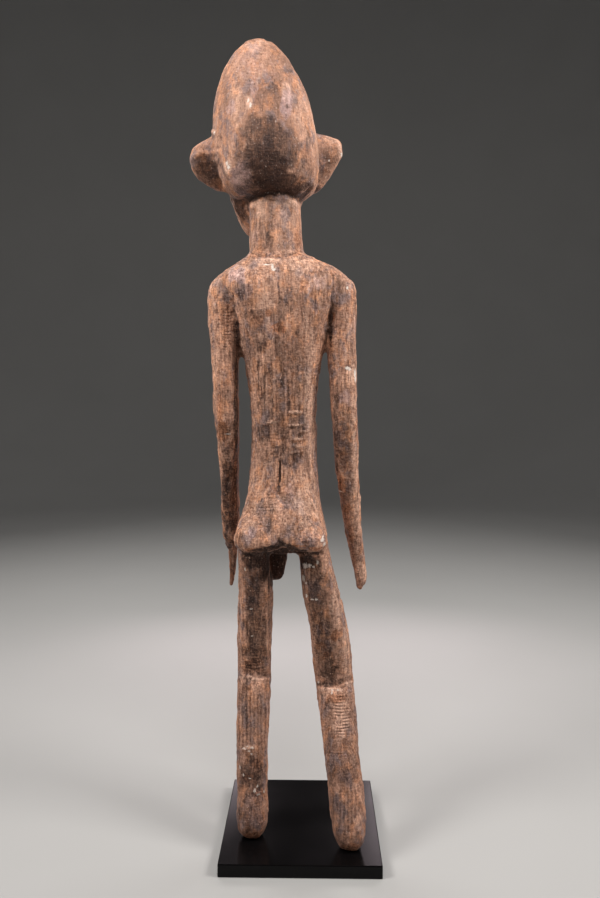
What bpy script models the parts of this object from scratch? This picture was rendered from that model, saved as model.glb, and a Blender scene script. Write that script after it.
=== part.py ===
"""Lobi ancestor figure: a standing figure carved from one piece of hardwood, on a square display plate.

Metres, +Z up. The origin is the centre of the plate's underside. The figure faces +Y, so its back faces -Y
and its left side is towards -X. The wood is one solid and the plate is another, and the figure only rests on
the plate.
"""

import math

import bpy
import numpy as np
from mathutils import Matrix

OBJECT_NAME = "lobi_ancestor_figure"

# Driving dimensions
FIGURE_HEIGHT = 0.600
PLATE_SIDE = 0.120
PLATE_THICKNESS = 0.010
PLATE_EDGE = 0.0007
PLATE_EDGE_STEPS = 2
SEAT_GAP = 0.0003

# The figure's form is in hundredths of its height: heights from the soles, widths from the plate's centre.
SHARE = FIGURE_HEIGHT / 100

# How finely the wood is made
SECTION_SIDES = 28
RINGS_PER_STATION = 5
GRAIN_SIZE = 0.28
SMOOTHING_ROUNDS = 4
WOOD_TRIANGLES = 9400

# The head sits a little to the left of the neck and is turned towards the figure's left.
HEAD_SEAT = (-4.1, 0.9, 80.0)
HEAD_TURN = math.radians(8.0)

# Each form is a row of stations: height, centre, half width, back and front.
TORSO = (
    (74.8, -3.15, 3.3, -2.3, 4.1),
    (74.2, -3.0, 3.8, -2.5, 4.2),
    (73.3, -2.65, 5.3, -3.0, 4.2),
    (72.0, -2.4, 7.5, -3.6, 4.1),
    (70.8, -2.4, 8.5, -4.0, 4.2),
    (69.4, -2.4, 7.9, -4.2, 4.3),
    (67.5, -2.35, 6.6, -4.2, 4.4),
    (63.1, -2.35, 5.45, -4.0, 4.4),
    (58.5, -2.3, 4.55, -3.6, 4.3),
    (54.0, -2.25, 4.22, -3.3, 4.6),
    (49.0, -2.25, 4.25, -3.2, 5.1),
    (45.0, -2.3, 4.55, -3.6, 5.0),
    (42.0, -2.4, 5.0, -4.6, 4.5),
    (39.8, -2.55, 5.6, -5.3, 4.1),
    (38.8, -2.55, 5.7, -5.3, 3.9),
    (38.1, -2.5, 5.4, -4.6, 3.6),
)
PELVIS = (
    (40.0, -2.4, 5.1, -2.0, 3.9),
    (37.8, -2.3, 5.0, -2.0, 3.7),
    (36.6, -2.3, 4.3, -1.5, 3.3),
    (36.0, -2.3, 3.2, -0.8, 2.7),
)
FRONT_WEDGE = (
    (37.5, -3.2, 1.5, 1.6, 3.6),
    (35.0, -3.3, 1.4, 1.5, 3.4),
    (32.8, -3.35, 1.15, 1.4, 2.9),
    (31.9, -3.35, 0.8, 1.5, 2.5),
)
BUTTOCK_LEFT = (
    (42.0, -5.0, 2.2, -3.6, 0.0),
    (39.9, -5.2, 2.9, -5.2, 0.5),
    (38.6, -5.25, 3.1, -5.8, 0.8),
    (37.7, -5.25, 3.05, -5.7, 0.8),
    (37.1, -5.3, 2.6, -5.1, 0.6),
)
BUTTOCK_RIGHT = (
    (42.0, 0.0, 2.2, -3.6, 0.0),
    (39.9, 0.1, 2.8, -5.2, 0.5),
    (38.7, 0.3, 3.0, -5.8, 0.8),
    (37.8, 0.35, 2.95, -5.7, 0.8),
    (37.2, 0.4, 2.5, -5.1, 0.6),
)
NECK = (
    (83.5, -3.4, 3.25, -2.3, 4.1),
    (79.0, -3.33, 3.32, -2.4, 4.1),
    (74.9, -3.15, 3.4, -2.5, 4.2),
    (72.0, -2.9, 3.6, -2.6, 4.2),
)
ARMPIT_LEFT = (
    (69.5, -8.9, 1.2, -2.2, 2.3),
    (66.0, -8.6, 1.1, -1.8, 2.2),
    (63.5, -8.35, 0.9, -0.9, 2.1),
    (61.9, -8.15, 0.75, 0.0, 1.9),
)
ARMPIT_RIGHT = (
    (69.5, 4.0, 1.2, -2.0, 2.3),
    (66.0, 3.65, 1.1, -1.4, 2.2),
    (63.5, 3.4, 0.9, -0.8, 2.1),
    (62.3, 3.3, 0.75, 0.0, 1.9),
)
ARM_LEFT = (
    (71.7, -8.9, 0.8, -1.1, 0.8),
    (70.6, -9.8, 1.6, -2.0, 1.5),
    (68.4, -10.2, 1.65, -2.4, 1.9),
    (62.3, -9.77, 1.74, -2.6, 1.8),
    (55.0, -9.6, 1.62, -2.6, 1.3),
    (50.8, -9.42, 1.45, -1.8, 1.8),
    (45.5, -9.43, 1.2, -0.3, 2.9),
    (38.5, -9.43, 1.14, 1.5, 4.3),
    (36.6, -9.4, 1.0, 2.1, 4.6),
    (35.8, -9.3, 0.65, 2.4, 4.4),
    (33.5, -9.35, 0.5, 3.0, 4.5),
    (30.4, -9.67, 0.22, 3.9, 4.7),
)
ARM_RIGHT = (
    (71.6, 4.0, 0.8, -1.1, 0.8),
    (70.6, 4.95, 1.6, -2.0, 1.5),
    (68.4, 5.3, 1.65, -2.4, 1.9),
    (62.3, 5.13, 1.85, -2.6, 1.8),
    (55.0, 5.48, 1.7, -2.6, 1.3),
    (50.8, 5.7, 1.61, -1.8, 1.8),
    (45.5, 6.13, 1.44, -0.3, 2.9),
    (38.5, 6.92, 1.1, 1.5, 4.3),
    (34.3, 7.63, 0.95, 2.6, 4.9),
    (31.6, 8.05, 0.75, 3.2, 5.1),
    (30.0, 7.8, 0.35, 3.6, 4.9),
)
THIGH_LEFT = (
    (39.5, -5.8, 1.9, -3.0, 2.2),
    (35.9, -6.15, 2.0, -3.8, 2.6),
    (31.0, -5.95, 2.2, -3.1, 2.7),
    (26.0, -6.1, 2.25, -2.4, 2.9),
    (21.5, -6.22, 2.2, -1.6, 3.2),
    (18.6, -6.25, 2.18, -1.1, 3.1),
    (16.6, -6.25, 1.8, -0.8, 2.4),
)
THIGH_RIGHT = (
    (39.5, 1.3, 1.9, -3.0, 2.2),
    (36.0, 1.75, 1.95, -3.8, 2.6),
    (31.5, 2.45, 2.33, -3.1, 2.7),
    (26.0, 3.6, 2.52, -2.4, 2.9),
    (21.0, 4.15, 2.58, -1.6, 3.2),
    (17.8, 4.52, 2.45, -1.1, 3.0),
    (15.8, 4.7, 2.0, -0.9, 2.2),
)
CALF_LEFT = (
    (19.5, -6.25, 1.9, -1.6, 2.6),
    (19.1, -6.25, 2.15, -2.1, 3.0),
    (16.0, -6.27, 2.18, -2.7, 2.5),
    (10.2, -6.38, 2.01, -3.9, 0.6),
    (4.2, -6.26, 2.01, -5.3, -1.2),
    (2.4, -6.23, 1.95, -5.7, -1.8),
    (1.1, -6.24, 1.75, -5.6, -2.1),
    (0.3, -6.22, 1.4, -5.2, -2.6),
    (0.0, -6.22, 1.1, -4.9, -3.0),
)
CALF_RIGHT = (
    (18.5, 4.42, 2.1, -1.7, 2.4),
    (18.1, 4.48, 2.38, -2.2, 2.8),
    (15.5, 4.78, 2.4, -3.1, 1.9),
    (10.7, 5.2, 2.24, -4.9, -0.2),
    (5.4, 5.84, 2.25, -7.1, -2.7),
    (2.6, 6.12, 2.05, -8.0, -4.1),
    (1.1, 6.24, 1.7, -7.9, -4.5),
    (0.3, 6.27, 1.3, -7.5, -5.0),
    (0.0, 6.27, 0.95, -7.1, -5.4),
)

# The head's stations are from its seat, before it is turned.
CRANIUM = (
    (20.0, -1.4, 0.9, -2.4, -0.5),
    (19.4, -1.35, 2.0, -3.2, 0.5),
    (17.6, -1.25, 3.8, -4.3, 2.7),
    (14.0, -0.95, 5.6, -5.5, 5.2),
    (10.2, -0.65, 6.4, -6.2, 6.4),
    (6.4, -0.3, 6.5, -6.3, 6.4),
    (3.6, 0.0, 6.2, -5.7, 5.6),
    (2.2, 0.2, 5.3, -4.9, 4.6),
    (1.3, 0.3, 4.1, -3.9, 3.6),
)
FACE = (
    (15.0, -0.6, 3.4, -1.0, 5.3),
    (12.0, -0.3, 5.0, -1.0, 6.9),
    (9.6, 0.0, 5.6, -1.0, 7.7),
    (8.3, 0.0, 5.7, -1.0, 6.9),
    (3.6, 0.0, 5.1, -0.6, 7.0),
    (0.6, 0.0, 4.2, 0.4, 7.0),
    (-1.6, 0.0, 3.0, 2.2, 7.1),
    (-2.5, 0.0, 1.9, 3.6, 6.4),
)
NOSE = (
    (9.8, 0.0, 0.5, 6.0, 7.9),
    (6.6, 0.0, 0.65, 6.0, 8.4),
    (4.3, 0.0, 1.25, 6.0, 9.5),
    (3.5, 0.0, 1.05, 6.0, 9.0),
)
EAR_LEFT = (
    (9.3, -6.3, 0.7, 0.5, 1.8),
    (8.6, -6.7, 1.4, -0.1, 2.3),
    (7.7, -7.2, 2.1, -0.7, 2.5),
    (6.6, -7.5, 2.45, -1.0, 2.5),
    (5.3, -7.45, 2.4, -0.6, 2.5),
    (4.0, -7.0, 1.95, 0.1, 2.5),
    (3.1, -6.3, 1.2, 0.7, 2.3),
    (2.6, -6.0, 0.7, 1.1, 2.1),
)
EAR_RIGHT = (
    (9.9, 6.4, 0.8, 0.5, 1.9),
    (9.3, 7.1, 1.95, -0.2, 2.4),
    (8.5, 7.3, 2.15, -0.7, 2.5),
    (7.4, 7.3, 2.2, -0.9, 2.5),
    (6.3, 7.05, 2.05, -0.5, 2.5),
    (4.8, 6.6, 1.6, 0.2, 2.5),
    (3.4, 6.1, 1.0, 0.8, 2.2),
    (2.8, 5.8, 0.7, 1.1, 2.0),
)

# The navel: its centre and half sizes
NAVEL = ((-2.3, 4.9, 50.0), (0.75, 0.7, 0.85))

# Facial features, from the head's seat
EYE_HEIGHT = 8.0
EYE_SPACING = 2.5
EYE_SIZE = (1.5, 0.95, 0.75)
EYE_FRONT = 6.45
LIP_SIZE = (1.8, 1.0, 0.5)
LIP_HEIGHTS = (1.9, 1.0)
LIP_FRONT = 6.7

# Carved lines on the back: their points (centre and height, from the top down), half width, depth, and the
# length over which each end runs out
SPINE = (((-2.9, 70.0), (-2.5, 60.0), (-2.3, 50.0), (-2.2, 41.0)), 0.8, 0.22, 6.0)
CLEFT = (((-2.4, 40.0), (-2.4, 36.5)), 0.8, 0.4, 1.5)
SCOOP_LEFT = (((-6.1, 37.0), (-6.15, 20.2)), 1.7, 0.5, 0.8)
SCOOP_RIGHT = (((1.2, 37.0), (3.9, 19.2)), 1.7, 0.5, 0.8)


def clear_scene():
    for thing in list(bpy.data.objects):
        bpy.data.objects.remove(thing, do_unlink=True)


def new_material(name, colour, roughness):
    material = bpy.data.materials.new(name)
    material.use_nodes = True
    shader = material.node_tree.nodes["Principled BSDF"]
    shader.inputs["Base Color"].default_value = (*colour, 1.0)
    shader.inputs["Roughness"].default_value = roughness
    return material


def figure_frame():
    """From shares of the height to metres, with the soles just clear of the plate."""
    floor = PLATE_THICKNESS + SEAT_GAP
    return Matrix.Translation((0.0, 0.0, floor)) @ Matrix.Scale(SHARE, 4)


def head_frame():
    return figure_frame() @ Matrix.Translation(HEAD_SEAT) @ Matrix.Rotation(HEAD_TURN, 4, "Z")


def between_stations(stations):
    """Rings between the stations, on a smooth curve that passes through each of them."""
    rows = np.array(stations)
    padded = np.vstack((2 * rows[0] - rows[1], rows, 2 * rows[-1] - rows[-2]))
    rings = []
    for first in range(len(rows) - 1):
        before, start, end, after = padded[first:first + 4]
        for step in range(RINGS_PER_STATION):
            t = step / RINGS_PER_STATION
            curve = 2 * start + (end - before) * t
            curve += (2 * before - 5 * start + 4 * end - after) * t ** 2
            curve += (3 * start - before - 3 * end + after) * t ** 3
            rings.append(curve / 2)
    rings.append(rows[-1])
    return rings


def loft(stations, frame, squareness=2.3):
    """A closed form through horizontal sections, each a rounded oblong."""
    angles = np.arange(SECTION_SIDES) * 2 * math.pi / SECTION_SIDES
    across = np.sign(np.cos(angles)) * np.abs(np.cos(angles)) ** (2 / squareness)
    along = np.sign(np.sin(angles)) * np.abs(np.sin(angles)) ** (2 / squareness)
    points = []
    faces = []
    rings = between_stations(sorted(stations))
    for height, centre, half_width, back, front in rings:
        for x, y in zip(across, along):
            middle = (back + front) / 2
            points.append((centre + half_width * x, middle + (front - back) / 2 * y, height))
    for ring in range(len(rings) - 1):
        for side in range(SECTION_SIDES):
            right = (side + 1) % SECTION_SIDES
            low = ring * SECTION_SIDES
            high = low + SECTION_SIDES
            faces.append((low + side, low + right, high + right, high + side))
    top = (len(rings) - 1) * SECTION_SIDES
    faces.append(tuple(reversed(range(SECTION_SIDES))))
    faces.append(tuple(range(top, top + SECTION_SIDES)))
    mesh = bpy.data.meshes.new("form")
    mesh.from_pydata(points, [], faces)
    mesh.transform(frame)
    return mesh


def round_form(centre, half_sizes, frame):
    """An egg or button shape."""
    bpy.ops.mesh.primitive_uv_sphere_add(segments=SECTION_SIDES, ring_count=SECTION_SIDES // 2)
    ball = bpy.context.object
    mesh = ball.data
    size = Matrix.Diagonal((*half_sizes, 1.0))
    mesh.transform(frame @ Matrix.Translation(centre) @ size)
    bpy.data.objects.remove(ball)
    return mesh


def body_forms():
    frame = figure_frame()
    forms = [loft(TORSO, frame, 2.6), loft(NECK, frame)]
    limbs = (ARM_LEFT, ARM_RIGHT, THIGH_LEFT, THIGH_RIGHT, CALF_LEFT, CALF_RIGHT)
    masses = (PELVIS, FRONT_WEDGE, BUTTOCK_LEFT, BUTTOCK_RIGHT, ARMPIT_LEFT, ARMPIT_RIGHT)
    forms += [loft(limb, frame) for limb in limbs]
    forms += [loft(mass, frame, 2.6) for mass in masses]
    forms.append(round_form(*NAVEL, frame))
    return forms


def head_forms():
    frame = head_frame()
    forms = [loft(CRANIUM, frame), loft(FACE, frame, 2.6), loft(NOSE, frame)]
    forms += [loft(ear, frame, 3.0) for ear in (EAR_LEFT, EAR_RIGHT)]
    for side in (-1, 1):
        eye = (side * EYE_SPACING, EYE_FRONT, EYE_HEIGHT)
        forms.append(round_form(eye, EYE_SIZE, frame))
    for height in LIP_HEIGHTS:
        forms.append(round_form((0.0, LIP_FRONT, height), LIP_SIZE, frame))
    return forms


def joined(meshes):
    """One mesh of the forms, which still pass through each other."""
    points = []
    faces = []
    for mesh in meshes:
        start = len(points)
        points += [vertex.co[:] for vertex in mesh.vertices]
        faces += [tuple(start + corner for corner in face.vertices) for face in mesh.polygons]
        bpy.data.meshes.remove(mesh)
    whole = bpy.data.meshes.new("forms")
    whole.from_pydata(points, [], faces)
    return whole


def fuse(thing):
    """Makes the overlapping forms one skin and softens where they meet."""
    remesh = thing.modifiers.new("fuse", "REMESH")
    remesh.mode = "VOXEL"
    remesh.voxel_size = GRAIN_SIZE * SHARE
    soften = thing.modifiers.new("soften", "SMOOTH")
    soften.factor = 0.5
    soften.iterations = SMOOTHING_ROUNDS
    graph = bpy.context.evaluated_depsgraph_get()
    fused = bpy.data.meshes.new_from_object(thing.evaluated_get(graph))
    thing.modifiers.clear()
    thing.data = fused


def smooth_step(values):
    """Rises gently from 0 to 1 as the values do."""
    values = np.clip(values, 0, 1)
    return values * values * (3 - 2 * values)


def carve_line(mesh, line, half_width, depth, run_out):
    """Sinks a rounded groove into the back, along a line given from top to bottom."""
    count = len(mesh.vertices)
    points = np.empty(count * 3, np.float32)
    normals = np.empty(count * 3, np.float32)
    mesh.vertices.foreach_get("co", points)
    mesh.vertices.foreach_get("normal", normals)
    points = points.reshape(-1, 3)
    normals = normals.reshape(-1, 3)
    height = (points[:, 2] - PLATE_THICKNESS - SEAT_GAP) / SHARE
    centres, heights = np.array(line[::-1]).T
    sideways = np.abs(points[:, 0] / SHARE - np.interp(height, heights, centres))
    from_end = np.minimum(height - heights[0], heights[-1] - height)
    sunk = smooth_step(1 - sideways / half_width) * smooth_step(from_end / run_out)
    sunk *= np.clip(-2 * normals[:, 1], 0, 1)
    points[:, 1] += depth * SHARE * sunk
    mesh.vertices.foreach_set("co", points.ravel())
    mesh.update()


def thin_out(thing, triangles):
    """Keeps the triangles where the form turns, down to the number given."""
    thing.data.calc_loop_triangles()
    thin = thing.modifiers.new("thin", "DECIMATE")
    thin.ratio = triangles / len(thing.data.loop_triangles)


def build_figure(collection, material):
    figure = bpy.data.objects.new("figure", joined(body_forms() + head_forms()))
    collection.objects.link(figure)
    fuse(figure)
    for groove in (SPINE, CLEFT, SCOOP_LEFT, SCOOP_RIGHT):
        carve_line(figure.data, *groove)
    thin_out(figure, WOOD_TRIANGLES)
    figure.data.materials.append(material)
    figure.data.shade_smooth()


def build_plate(collection, material):
    bpy.ops.mesh.primitive_cube_add(size=1.0)
    plate = bpy.context.object
    plate.name = "base_plate"
    for owner in list(plate.users_collection):
        owner.objects.unlink(plate)
    collection.objects.link(plate)
    plate.data.transform(Matrix.Diagonal((PLATE_SIDE, PLATE_SIDE, PLATE_THICKNESS, 1.0)))
    plate.location = (0.0, 0.0, PLATE_THICKNESS / 2)
    edge = plate.modifiers.new("edge", "BEVEL")
    edge.width = PLATE_EDGE
    edge.segments = PLATE_EDGE_STEPS
    plate.data.materials.append(material)


def main():
    clear_scene()
    collection = bpy.data.collections.new(OBJECT_NAME)
    bpy.context.scene.collection.children.link(collection)
    wood = new_material("carved_hardwood", (0.20, 0.115, 0.075), 0.78)
    acrylic = new_material("smoked_satin_acrylic", (0.012, 0.012, 0.012), 0.35)
    build_figure(collection, wood)
    build_plate(collection, acrylic)


main()
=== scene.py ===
"""The looks of the ancestor figure: its carved skin, its plate, the room, the lights and the camera.

Marks that belong to one place on the back are given as the camera sees them, in pixels of a 600 by 898 frame
(across, down), and lie on the skin there. Everything else follows rules over the whole figure. Lengths are in
metres unless a comment says otherwise, and seeds only keep the noises apart.
"""

import math

import bpy
import numpy as np
from mathutils import Euler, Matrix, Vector


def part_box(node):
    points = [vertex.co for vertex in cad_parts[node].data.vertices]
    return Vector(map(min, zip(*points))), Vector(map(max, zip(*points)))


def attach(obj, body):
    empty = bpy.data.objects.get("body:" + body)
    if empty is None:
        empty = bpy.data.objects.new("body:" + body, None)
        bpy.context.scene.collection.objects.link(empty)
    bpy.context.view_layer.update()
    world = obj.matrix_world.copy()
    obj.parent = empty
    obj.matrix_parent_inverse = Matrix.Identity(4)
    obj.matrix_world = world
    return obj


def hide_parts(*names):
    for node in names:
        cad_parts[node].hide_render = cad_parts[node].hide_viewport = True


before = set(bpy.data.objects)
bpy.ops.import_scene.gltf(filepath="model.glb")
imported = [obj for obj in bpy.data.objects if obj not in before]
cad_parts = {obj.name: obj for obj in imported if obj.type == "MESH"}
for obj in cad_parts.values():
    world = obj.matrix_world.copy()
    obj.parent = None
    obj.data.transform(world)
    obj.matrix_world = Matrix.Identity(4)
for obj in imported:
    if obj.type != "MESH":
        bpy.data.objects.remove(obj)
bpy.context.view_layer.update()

MM = 1000

# Camera
CAMERA_PLACE = (0.009, -0.5723, 0.3494)
CAMERA_TURN = (math.radians(85.83), 0.0, math.radians(1.0))
CAMERA_LENS = 29.69
CAMERA_NEAREST = 0.01
SENSOR = 36.0
FRAME_WIDTH = 600
FRAME_HEIGHT = 898
FOCAL = CAMERA_LENS / SENSOR * FRAME_HEIGHT

# Skin: mesh size, rounds of smoothing, triangles, the heights where the neck and the head begin, and over how
# much height its relief changes there
GRAIN = 0.001
SOFTENING = 14
SKIN_TRIANGLES = 194000
NECK_FROM = 0.450
HEAD_FROM = 0.505
BLEND = 0.01

# Facets left by the blade: width and height in millimetres, strength, seed
HEAD_FACETS = (14, 17, 0.55, 3)
BODY_FACETS = (7, 26, 0.5, 5)

# How much a facet's direction counts beside its place, how far it moves the skin at most, how often the moves
# are evened out, and how many points are worked on at a time
FACET_TURN = 1.6
FACET_LIMIT = 0.0007
FACET_ROUNDS = 2
FACET_BLOCK = 20000

# Relief over the whole skin: depth and feature sizes in millimetres, seed, the noise values between which it
# steps up, and whether the head and neck have less of it
RELIEF = (
    (0.30, (9, 9, 16), 11, None, False),
    (0.30, (2.6, 2.6, 42), 12, None, True),
    (0.18, (2.4, 2.4, 4.5), 13, None, False),
    (0.40, (4.4, 4.4, 20), 16, (0.47, 0.56), True),
    (0.16, (3.0, 3.0, 12), 20, (0.5, 0.6), True),
)

# How much less of that relief the head and neck have
HEAD_EASE = 0.7

# Depths of the other relief, in millimetres
CHIP_DEPTH = 0.28
FLUTE_DEPTH = 0.22
RUNG_DEPTH = 0.22
RIM_DEPTH = 0.9

# Marks, in pixels: how far their edges wander, how wide one flute is, how high one cross cut is, and how far
# it sags and, in half sizes of its place, how far that reaches
WOBBLE = 3
FLUTE_WIDTH = 3.75
RUNG_HEIGHT = 3.15
RUNG_SAG = 1.7
SAG_REACH = 1.6

# How far a soft spot reaches past its half width, and how softly it ends there
SPOT_REACH = 1.45
SPOT_FADE = 0.8

# Strength of the stains and worn patches where the camera sees nothing, and how wide and strong hollows are
HIDDEN_DARK = 0.46
HIDDEN_PALE = 0.5
HOLLOW_ROUNDS = 5
HOLLOW_GAIN = 2.2

# Cuts in the back: points, half width in pixels, depth in millimetres (below zero stands proud)
CUTS = (
    (((220, 137), (218, 152), (219, 175), (222, 190)), 2.2, 0.9),
    (((306, 128), (311, 142), (316, 152), (319, 168), (316, 182)), 2.0, 0.6),
    (((191, 159), (203, 153), (218, 151)), 3.0, -0.8),
    (((323, 163), (333, 160), (343, 158)), 3.0, -0.5),
    (((245, 206), (251, 199), (266, 193), (283, 192.5), (297, 198), (304, 207)), 2.6, 1.0),
    (((250, 207), (256, 202), (267, 198.5), (283, 198), (295, 203)), 1.6, -0.5),
    (((250, 252.5), (262, 256.5), (278, 257), (301, 252)), 1.5, 0.7),
    (((232, 294), (233, 302), (235, 316), (237, 324)), 1.2, 0.9),
    (((237, 324), (241, 336), (244, 348)), 1.4, 0.8),
    (((333, 276), (332, 306), (329, 330), (326, 346)), 1.3, 0.8),
    (((275.5, 268), (276, 290), (277, 312), (277, 332)), 2.4, -0.3),
    (((279, 508), (280, 545)), 8, -1.5),
    (((264, 540), (296, 540)), 6, -0.7),
    (((268, 311), (268, 316)), 2.0, 0.5),
    (((258, 356), (259, 404)), 1.0, 0.65),
    (((264, 368), (265, 412)), 1.0, 0.65),
    (((271, 350), (271, 386)), 0.9, 0.5),
    (((282, 360), (282, 388)), 0.9, 0.5),
    (((288, 382), (289, 410)), 0.9, 0.55),
    (((298, 368), (299, 402)), 0.9, 0.5),
    (((290, 296), (291, 324)), 0.9, 0.35),
    (((315, 296), (314, 332)), 0.9, 0.35),
    (((250, 310), (262, 308)), 1.6, -0.4),
    (((278, 326), (280, 331)), 3.0, 0.6),
    (((263, 333), (270, 342)), 3.0, 0.4),
    (((280.5, 461), (280, 474), (279.5, 486)), 1.3, 1.6),
    (((264, 424), (278, 420)), 1.5, -0.8),
    (((290, 413.5), (302, 411.5)), 1.3, -0.7),
    (((290, 426), (302, 424)), 1.4, -0.8),
    (((298, 433), (309, 431)), 1.3, -0.6),
    (((291, 440), (305, 438)), 1.4, -0.8),
    (((296, 447), (304, 446)), 1.2, -0.6),
    (((292, 453), (302, 451)), 1.3, -0.6),
    (((265, 464), (271, 463)), 1.6, -0.3),
    (((262, 428), (263, 440)), 4.5, 0.5),
    (((297, 431), (299, 436)), 4.0, 0.5),
    (((244, 556), (250, 554), (258, 551), (268, 548), (278, 546)), 2.2, 1.2),
    (((282, 547), (290, 548), (300, 550.5), (312, 553), (321, 553)), 2.2, 1.0),
    (((279, 541), (281, 550)), 2.4, 0.5),
    (((246, 566), (247, 600), (247, 640), (247, 668)), 1.8, 0.3),
    (((264, 566), (265, 610), (264, 664)), 1.8, 0.3),
    (((240, 668), (246, 672.5), (254, 674.5), (268, 675)), 1.8, 0.5),
    (((240, 672), (246, 676.5), (254, 678.5), (268, 679)), 1.6, -0.7),
    (((316, 684), (328, 685.5), (340, 683), (350, 677)), 1.8, 0.5),
    (((316, 688), (328, 689.5), (340, 687), (352, 681)), 1.6, -0.8),
    (((300, 570), (306, 610), (315, 660), (320, 682)), 1.8, 0.3),
    (((319, 566), (327, 604), (337, 650), (341, 680)), 1.8, 0.3),
    (((325, 672), (334, 684)), 1.3, 0.4),
    (((334, 671), (326, 685)), 1.3, 0.4),
    (((339, 595), (341, 600)), 3.0, 1.6),
    (((224, 541), (230, 548)), 3.0, 0.8),
    (((326, 754), (338, 755), (348, 753)), 1.4, 0.4),
    (((242, 750), (248, 748), (255, 747)), 1.8, -0.6),
    (((247, 756), (250, 758)), 3.2, 0.8),
    (((256, 762), (257, 767)), 2.2, 0.6),
    (((247, 771), (246, 778)), 2.2, 0.6),
    (((251, 768), (253, 771)), 2.4, -0.5),
    (((253, 790), (256, 793), (262, 790)), 2.0, -0.7),
    (((259, 768), (260, 762)), 2.0, -0.4),
    (((257, 778), (258, 787)), 3.4, 0.9),
    (((222, 428), (226, 434)), 5.0, 0.6),
    (((339, 480), (341, 494)), 3.5, 0.9),
    (((334, 396), (342, 412), (352, 424)), 3.0, 0.4),
    (((353, 300), (350, 288), (341, 274)), 3.0, -0.4),
)

# Rows of small cross cuts: centre, half width and half height in pixels, strength
LADDERS = (
    (341, 716, 8, 20, 0.85),
    (227, 328, 5, 24, 0.65),
    (337, 757, 11, 8, 0.4),
    (268, 434, 9, 12, 0.15),
    (262, 505, 14, 14, 0.25),
    (254, 664, 9, 10, 0.6),
    (348, 335, 5, 16, 0.2),
    (311, 365, 6, 22, 0.2),
    (264, 156, 20, 12, 0.15),
)

# Fluted places: the same
FLUTES = (
    (253, 722, 18, 38, 0.6),
    (346, 806, 14, 24, 0.45),
    (323, 716, 4, 26, 0.6),
    (356, 722, 4, 30, 0.6),
    (283, 388, 24, 44, 0.35),
    (243, 610, 5, 50, 0.4),
    (270, 620, 5, 46, 0.4),
)

# Nicks and chips at the edges of the outline: centre, radius in pixels, depth in millimetres
NICKS = (
    (367, 590, 6, 2.4),
    (341, 597, 3, 0.8),
    (339, 482, 4, 0.8),
    (224, 541, 3, 0.7),
    (216, 432, 3, 0.6),
    (321, 340, 4, 0.7),
    (243, 340, 3, 0.6),
    (318, 420, 4, 0.5),
    (321, 470, 3, 0.6),
    (255, 40, 6, 0.5),
    (188, 166, 4, 0.8),
    (344, 150, 4, 0.6),
    (214, 132, 2.5, -0.9),
    (222, 420, 4, -0.5),
    (268, 40, 3, 0.4),
)

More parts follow.
